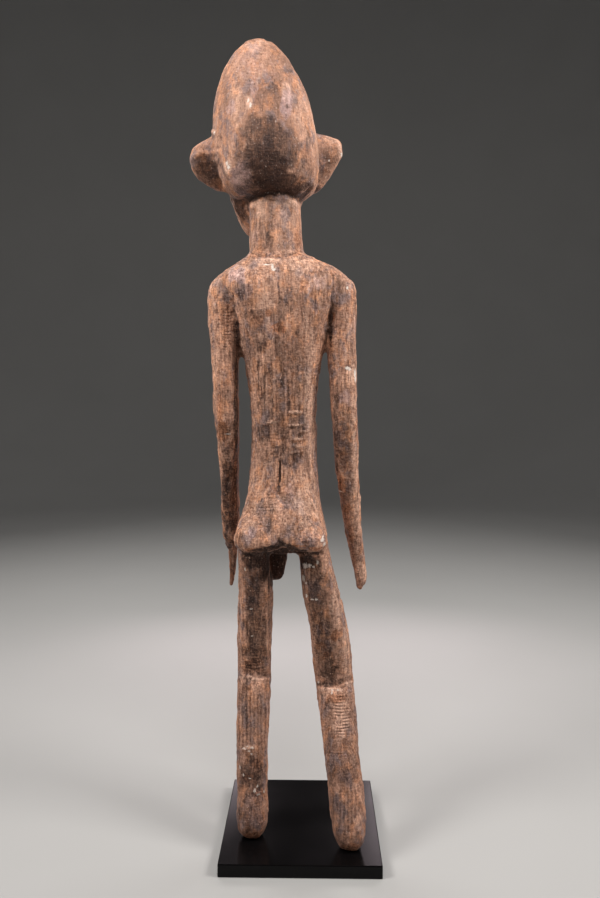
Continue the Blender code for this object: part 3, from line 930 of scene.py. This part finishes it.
def paint(mesh):
    """Writes where the wood is dark with patina and painted shade, pale with wear and painted highlights,
    bloomed or reddish, where it is cut and where it is hollow.
    """
    points, normals = arrays_of(mesh)
    across, down, facing = seen_at(points, normals)
    ragged = 0.9 * (noise(points, (4, 4, 6), 21) - 0.5) + 0.5 * (noise(points, (1.8, 1.8, 3), 22) - 0.5)
    ragged *= 1 - 0.25 * smooth_step(points[:, 2], NECK_FROM, HEAD_FROM)
    clouds = two_noises(points, (22, 22, 38), (9, 9, 20), 23)
    hidden_dark = HIDDEN_DARK * smooth_step(clouds, 0.50, 0.80) * (1 - facing)
    clouds = two_noises(points, (18, 18, 30), (7, 7, 12), 25)
    hidden_pale = HIDDEN_PALE * smooth_step(clouds, 0.5, 0.75) * (1 - facing)
    broken = smooth_step(noise(points, (5, 5, 4), 33), 0.25, 0.55)
    # the dark field holds patina and painted shade, the pale field worn wood and painted highlights
    write_field(mesh, "dark", np.maximum(spot_field(across, down, DARK, ragged) * facing, hidden_dark))
    write_field(mesh, "pale", np.maximum(spot_field(across, down, PALE, ragged) * facing, hidden_pale))
    write_field(mesh, "bloom", spot_field(across, down, BLOOM, ragged) * facing)
    write_field(mesh, "reddish", spot_field(across, down, REDDISH, ragged) * facing)
    write_field(mesh, "rungs", spot_field(across, down, LADDERS, ragged) * facing * broken)
    write_field(mesh, "rung_phase", rung_phase(points, across, down))
    write_field(mesh, "flutes", spot_field(across, down, FLUTES, ragged) * facing)
    write_field(mesh, "flute_phase", flute_phase(points, across))
    write_field(mesh, "hollow", np.clip(hollows(mesh, points, normals) * HOLLOW_GAIN, -1, 1))


def make_skin():
    """The carved figure, in place of the plain solid."""
    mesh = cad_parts["figure"].data.copy()
    mesh.materials.clear()
    skin = bpy.data.objects.new("carved_figure", mesh)
    bpy.context.scene.collection.objects.link(skin)
    remesh = skin.modifiers.new("grain", "REMESH")
    remesh.mode = "VOXEL"
    remesh.voxel_size = GRAIN
    soften = skin.modifiers.new("soften", "SMOOTH")
    soften.factor = 0.5
    soften.iterations = SOFTENING
    mesh = evaluated(skin)
    carve(mesh)
    mesh.calc_loop_triangles()
    thin = skin.modifiers.new("thin", "DECIMATE")
    thin.ratio = SKIN_TRIANGLES / len(mesh.loop_triangles)
    mesh = evaluated(skin)
    mesh.shade_smooth()
    paint(mesh)
    return skin


class Graph:
    """Short ways to add and link the nodes of one material."""

    def __init__(self, name):
        self.material = bpy.data.materials.new(name)
        self.material.use_nodes = True
        self.tree = self.material.node_tree
        self.shader = self.tree.nodes["Principled BSDF"]

    def add(self, kind, inputs, **settings):
        node = self.tree.nodes.new(kind)
        for name, value in settings.items():
            setattr(node, name, value)
        for place, value in inputs.items():
            self.set(node.inputs[place], value)
        return node

    def set(self, socket, value):
        """Links a socket to another one, or gives it a fixed value."""
        if isinstance(value, bpy.types.NodeSocket):
            self.tree.links.new(value, socket)
        else:
            socket.default_value = value

    def compute(self, operation, *values):
        inputs = dict(enumerate(values))
        return self.add("ShaderNodeMath", inputs, operation=operation).outputs[0]

    def total(self, first, *others):
        for other in others:
            first = self.compute("ADD", first, other)
        return first

    def times(self, first, second):
        return self.compute("MULTIPLY", first, second)

    def centred(self, value, strength):
        """A noise with its middle at 0, times its strength."""
        return self.times(self.compute("SUBTRACT", value, 0.5), strength)

    def field(self, name):
        return self.add("ShaderNodeAttribute", {}, attribute_name=name).outputs["Fac"]

    def millimetres(self):
        place = self.add("ShaderNodeTexCoord", {}).outputs["Object"]
        inputs = {0: place, 1: (MM, MM, MM)}
        return self.add("ShaderNodeVectorMath", inputs, operation="MULTIPLY").outputs[0]

    def noise(self, place, sizes, detail, roughness, distortion=0.0):
        """Noise from 0 to 1 with features of the given sizes in millimetres."""
        inputs = {0: place, 1: tuple(1 / size for size in sizes)}
        scaled = self.add("ShaderNodeVectorMath", inputs, operation="MULTIPLY").outputs[0]
        inputs = {"Vector": scaled, "Scale": 1.0, "Detail": detail, "Roughness": roughness}
        inputs["Distortion"] = distortion
        return self.add("ShaderNodeTexNoise", inputs).outputs[0]

    def noises(self, place, table):
        return {name: self.noise(place, *values) for name, values in table.items()}

    def span(self, value, low, high, start=0.0, end=1.0):
        """Start below the low value, end above the high one, and smooth between."""
        inputs = {0: value, 1: low, 2: high, 3: start, 4: end}
        return self.add("ShaderNodeMapRange", inputs, interpolation_type="SMOOTHSTEP").outputs[0]

    def wave(self, phase, strength):
        """A wave from -1 to 1 with one crest for each whole number of the phase."""
        return self.times(self.compute("SINE", self.times(phase, 2 * math.pi)), strength)

    def blend(self, share, first, second):
        """The first colour where the share is 0 and the second where it is 1."""
        node = self.add("ShaderNodeMix", {0: share}, data_type="RGBA")
        for place, colour in ((6, first), (7, second)):
            if not isinstance(colour, bpy.types.NodeSocket):
                colour = (*colour, 1.0)
            self.set(node.inputs[place], colour)
        return node.outputs[2]

    def tinted(self, colour, share, tint):
        """The colour multiplied by a tint where the share is 1."""
        node = self.add("ShaderNodeMix", {0: share, 6: colour}, data_type="RGBA", blend_type="MULTIPLY")
        self.set(node.inputs[7], (*tint, 1.0))
        return node.outputs[2]

    def finish(self, colour, roughness, specular, height, bump):
        """Sets the shader's colour, gloss and bump, and gives the material."""
        self.set(self.shader.inputs["Base Color"], colour)
        self.set(self.shader.inputs["Roughness"], roughness)
        self.shader.inputs["Specular IOR Level"].default_value = specular
        distance, strength = bump
        inputs = {"Height": height, "Distance": distance, "Strength": strength}
        self.set(self.shader.inputs["Normal"], self.add("ShaderNodeBump", inputs).outputs["Normal"])
        return self.material


def speck_places(skin):
    """Where the paint specks lie on the skin, with their half sizes, in millimetres."""
    turn = Euler(CAMERA_TURN).to_matrix()
    start = Vector(CAMERA_PLACE)
    found = []
    for across, down, half_width, half_height in SPECKS:
        ray = turn @ Vector(((across - FRAME_WIDTH / 2) / FOCAL, (FRAME_HEIGHT / 2 - down) / FOCAL, -1.0))
        hit, place, _, _ = skin.ray_cast(start, ray.normalized())
        if hit:
            size = (place - start).length / FOCAL * MM
            found.append((place * MM, half_width * size, half_height * size))
    return found


def speck_mask(graph, place, skin, ragged):
    """1 on the paint specks and 0 elsewhere, with uneven edges."""
    mask = 0.0
    for centre, half_width, half_height in speck_places(skin):
        scale = (1 / half_width, 1 / SPECK_DEPTH, 1 / half_height)
        offset = tuple(-part * factor for part, factor in zip(centre, scale))
        inputs = {0: place, 1: scale, 2: offset}
        local = graph.add("ShaderNodeVectorMath", inputs, operation="MULTIPLY_ADD").outputs[0]
        length = graph.add("ShaderNodeVectorMath", {0: local}, operation="LENGTH").outputs["Value"]
        mask = graph.compute("MAXIMUM", graph.compute("SUBTRACT", SPECK_REACH, length), mask)
    return graph.span(graph.total(mask, ragged), *SPANS["specks"])


class Wood(Graph):
    """The figure's material: its noises and fields, and the steps from bare wood to its weathered colour with
    painted light and shade.
    """

    def __init__(self, name):
        super().__init__(name)
        self.place = self.millimetres()
        self.height = self.add("ShaderNodeSeparateXYZ", {0: self.place}).outputs["Z"]
        self.grain = self.noises(self.place, WOOD_NOISES)
        self.rough_edge = self.compute("SUBTRACT", self.grain["edges"], 0.5)
        patches = self.centred(self.grain["patches"], DARK_PATCHES)
        self.dark = self.look("dark", self.total(self.edged("dark", DARK_EDGE), patches))
        rungs = self.wave(self.field("rung_phase"), self.field("rungs"))
        flutes = self.wave(self.field("flute_phase"), self.field("flutes"))
        self.cuts = self.total(self.times(rungs, RUNG_SHARE), flutes)
        trunk = self.rise("trunk")
        self.nicks = self.times(self.look("nicks", self.grain["nicks"]), trunk)
        flecks = self.times(self.look("flecks", self.grain["flecks"]), self.look("flecks on dark", self.dark))
        self.flecks = self.times(flecks, trunk)

    def look(self, name, value):
        return self.span(value, *SPANS[name])

    def rise(self, name):
        return self.span(self.height, *RISES[name])

    def edged(self, name, share):
        """A painted field with its edges broken up."""
        return self.total(self.field(name), self.times(self.rough_edge, share))

    def bare(self):
        """Brown and tan wood with grey and orange patches."""
        colour = self.blend(self.look("tan", self.grain["clouds"]), BROWN, TAN)
        colour = self.blend(self.look("grey", self.grain["patches"]), colour, GREY_WOOD)
        return self.blend(self.look("orange", self.grain["warmth"]), colour, ORANGE_WOOD)

    def aged_and_painted_light(self, colour):
        """The pale places of wear and painted highlights, the bare and bloomed places, and the dark places of
        patina and painted shade, that the fields name.
        """
        grit = self.grain["grit"]
        # worn wood and painted highlights
        colour = self.blend(self.look("pale", self.edged("pale", PALE_EDGE)), colour, PALE_WOOD)
        red = self.look("reddish", self.edged("reddish", REDDISH_EDGE))
        colour = self.blend(red, colour, self.blend(grit, RED_WOOD, ORANGE_WOOD))
        colour = self.blend(self.look("bloom", self.edged("bloom", BLOOM_EDGE)), colour, MAUVE)
        # dark patina and painted shade
        return self.blend(self.times(self.dark, DARK_COVER), colour, self.blend(grit, DARK_PATINA_AND_SHADE, SOOT_AND_SHADE))

    def grained(self, colour):
        """Light and dark grain, stronger below the neck and on dark wood."""
        parts = [self.centred(self.grain[name], share) for name, share in GRAIN_SHARES.items()]
        shade = self.total(*parts, self.centred(self.grain["streaks"], self.rise("streaks")))
        shade = self.times(shade, self.rise("soles"))
        # painted light and shade on the cuts: lighter on their crests, darker in their grooves
        shade = self.total(shade, self.times(self.cuts, CUT_PAINTED_LIGHT))
        shade = self.times(shade, self.times(self.rise("grain"), self.look("grain on dark", self.dark)))
        darker = self.tinted(colour, 1.0, DARK_GRAIN)
        lighter = self.tinted(colour, 1.0, LIGHT_GRAIN)
        return self.blend(self.look("grain", shade), darker, lighter)

    def worn(self, colour):
        """Darker hollows, dirt in the cracks, lighter raised edges, nicks and flecks."""
        hollow = self.field("hollow")
        colour = self.tinted(colour, self.rise("feet"), FEET_TINT)
        # lighter on raised edges, darker in hollows
        colour = self.tinted(colour, self.look("raised edge", hollow), EDGE_TINT)
        colour = self.blend(self.look("darker hollow", hollow), colour, CRACK_AND_HOLLOW_DARK)
        colour = self.blend(self.look("crack", self.grain["cracks"]), colour, CRACK_AND_HOLLOW_DARK)
        colour = self.blend(self.nicks, colour, NICK_RED)
        return self.blend(self.flecks, colour, PALE_WOOD)

    def painted(self, colour, skin):
        """Specks of old paint."""
        ragged = self.centred(self.grain["grit"], PAINT_EDGE)
        specks = speck_mask(self, self.place, skin, ragged)
        return self.blend(self.times(specks, self.rise("paint")), colour, WHITE_PAINT)

    def relief(self):
        """How far each place stands out in the bump."""
        parts = [self.times(self.grain[name], share) for name, share in BUMP_SHARES.items()]
        parts += [self.times(self.cuts, CUT_BUMP), self.times(self.nicks, NICK_BUMP)]
        parts += [self.times(self.flecks, FLECK_BUMP)]
        return self.compute("SUBTRACT", self.total(*parts), self.look("crack depth", self.grain["cracks"]))


def wood_material(skin):
    """Dry hardwood with fibres, dark patina and painted shade, painted highlights, lighter raised edges,
    bloom and specks of old paint.
    """
    wood = Wood("weathered_hardwood_painted_light")
    colour = wood.painted(wood.worn(wood.grained(wood.aged_and_painted_light(wood.bare()))), skin)
    return wood.finish(colour, wood.look("roughness", wood.dark), WOOD_SPECULAR, wood.relief(), WOOD_BUMP)


def plate_material():
    """Near-black satin sheet with faint wipe marks and dust."""
    graph = Graph("smoked_satin_sheet")
    noises = graph.noises(graph.millimetres(), PLATE_NOISES)
    colour = graph.blend(noises["haze"], PLATE_DARK, PLATE_LIGHT)
    colour = graph.blend(graph.span(noises["dust"], *DUST_SPAN), colour, DUST)
    scuffs = graph.times(noises["scuffs"], SCUFF_SHARE)
    roughness = graph.total(graph.span(noises["haze"], *HAZE_SPAN), scuffs)
    return graph.finish(colour, roughness, PLATE_SPECULAR, noises["scuffs"], PLATE_BUMP)


def make_room():
    """A pale floor that bends up into a wall all round."""
    profile = [(radius, 0.0) for radius in ROOM_FLAT]
    for step in range(BEND_STEPS + 1):
        angle = math.radians(90 * step / BEND_STEPS)
        across = ROOM_RADIUS - ROOM_BEND + ROOM_BEND * math.sin(angle)
        profile.append((across, ROOM_BEND * (1 - math.cos(angle))))
    profile.append((ROOM_RADIUS, ROOM_HEIGHT))
    rows = len(profile)
    points = []
    faces = []
    for side in range(ROOM_SIDES):
        angle = 2 * math.pi * side / ROOM_SIDES
        for radius, height in profile:
            points.append((radius * math.cos(angle), radius * math.sin(angle), height))
        here, there = side * rows, (side + 1) % ROOM_SIDES * rows
        for row in range(rows - 1):
            faces.append((here + row, here + row + 1, there + row + 1, there + row))
    mesh = bpy.data.meshes.new("studio_floor")
    mesh.from_pydata(points, [], faces)
    mesh.shade_smooth()
    room = bpy.data.objects.new("studio_floor", mesh)
    bpy.context.scene.collection.objects.link(room)
    graph = Graph("studio_paper")
    colour = graph.blend(graph.noise(graph.millimetres(), *PAPER_NOISE), PAPER_DARK, PAPER_LIGHT)
    graph.set(graph.shader.inputs["Base Color"], colour)
    graph.shader.inputs["Roughness"].default_value = PAPER_ROUGHNESS
    mesh.materials.append(graph.material)


def make_lights():
    """The studio's soft lights and its faint light from all round."""
    for name, place, target, (width, height), power, colour in LIGHTS:
        light = bpy.data.lights.new(name, "AREA")
        light.shape = "RECTANGLE"
        light.energy = power
        light.size = width
        light.size_y = height
        light.color = colour
        lamp = bpy.data.objects.new(name, light)
        lamp.visible_camera = False
        bpy.context.scene.collection.objects.link(lamp)
        lamp.location = place
        lamp.rotation_euler = (Vector(target) - Vector(place)).to_track_quat("-Z", "Y").to_euler()
    world = bpy.data.worlds.new("studio_air")
    world.use_nodes = True
    background = world.node_tree.nodes["Background"]
    background.inputs["Color"].default_value = (*AIR, 1.0)
    background.inputs["Strength"].default_value = AIR_STRENGTH
    bpy.context.scene.world = world


def make_camera():
    lens = bpy.data.cameras.new("camera")
    lens.lens = CAMERA_LENS
    lens.sensor_width = SENSOR
    lens.clip_start = CAMERA_NEAREST
    camera = bpy.data.objects.new("camera", lens)
    bpy.context.scene.collection.objects.link(camera)
    camera.location = CAMERA_PLACE
    camera.rotation_euler = CAMERA_TURN
    bpy.context.scene.camera = camera
    bpy.context.scene.view_settings.view_transform = "Standard"


make_camera()
make_room()
make_lights()

skin = make_skin()
skin.data.materials.append(wood_material(skin))
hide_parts("figure")
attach(skin, "root")

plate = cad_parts["base_plate"]
plate.data.materials.clear()
plate.data.materials.append(plate_material())
